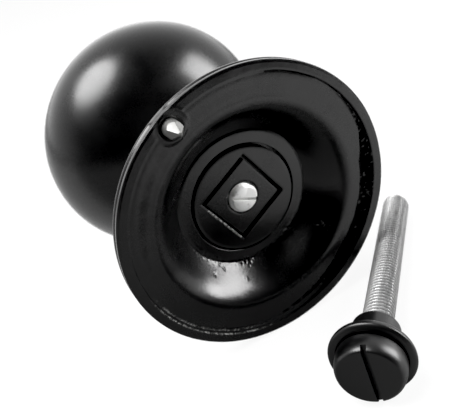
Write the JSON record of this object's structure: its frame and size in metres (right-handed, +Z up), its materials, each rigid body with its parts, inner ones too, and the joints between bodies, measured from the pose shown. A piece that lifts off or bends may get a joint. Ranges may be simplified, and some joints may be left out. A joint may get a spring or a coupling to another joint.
{
  "type": "bolt-through centre door knob",
  "caption": "Flattened ball knob on a domed round rose, with its threaded fixing rod, bead washer and slotted cap lying loose beside it.",
  "frame": {"origin": "centre of the rose's rear bearing plane, on the knob axis", "axes": "+Y into the door along the knob axis, +Z up on the door, the ball towards -Y"},
  "size_m": [0.0941, 0.1405, 0.0756],
  "materials": {
    "rose_black": "satin black lacquer over a slightly rough casting",
    "knob_black": "smooth satin black lacquer",
    "spigot_black": "thin black lacquer over steel",
    "cap_black": "smooth satin black lacquer",
    "bright_steel": "bright zinc-plated steel",
    "pin_steel": "bare filed steel"
  },
  "bodies": {
    "knob": {"rose": "rose_black", "knob_ball": "knob_black", "square_spigot": "spigot_black", "hub_disc": "rose_black", "locating_pin": "pin_steel"},
    "stud": {"centre_stud": "bright_steel"},
    "rod": {"fixing_rod": "bright_steel"},
    "washer": {"cap_washer": "cap_black"},
    "cap": {"slotted_cap": "cap_black"}
  },
  "joints": [
    {"name": "stud_travel", "type": "slide", "parent": "knob", "child": "stud", "axis": [0, -1, 0], "range_m": [0, 0.018]},
    {"name": "rod_offer_up", "type": "hinge", "parent": "knob", "child": "rod", "pos_m": [-0.0535, 0.03352, 0.01038], "axis": [0.3268, 0.6031, -0.7276], "range_deg": [0, 303.75]},
    {"name": "cap_travel", "type": "slide", "parent": "rod", "child": "washer", "axis": [0.6926, 0.7172, 0.0767], "range_m": [0, 0.0063]},
    {"name": "cap_turn", "type": "hinge", "parent": "washer", "child": "cap", "pos_m": [-0.01012, 0.02644, -0.02863], "axis": [0.6926, 0.7172, 0.0767], "range_deg": [0, 1800]}
  ],
  "couplings": [
    {"joint": "cap_travel", "follows": "cap_turn", "m_per_rad": 0.00019894}
  ]
}
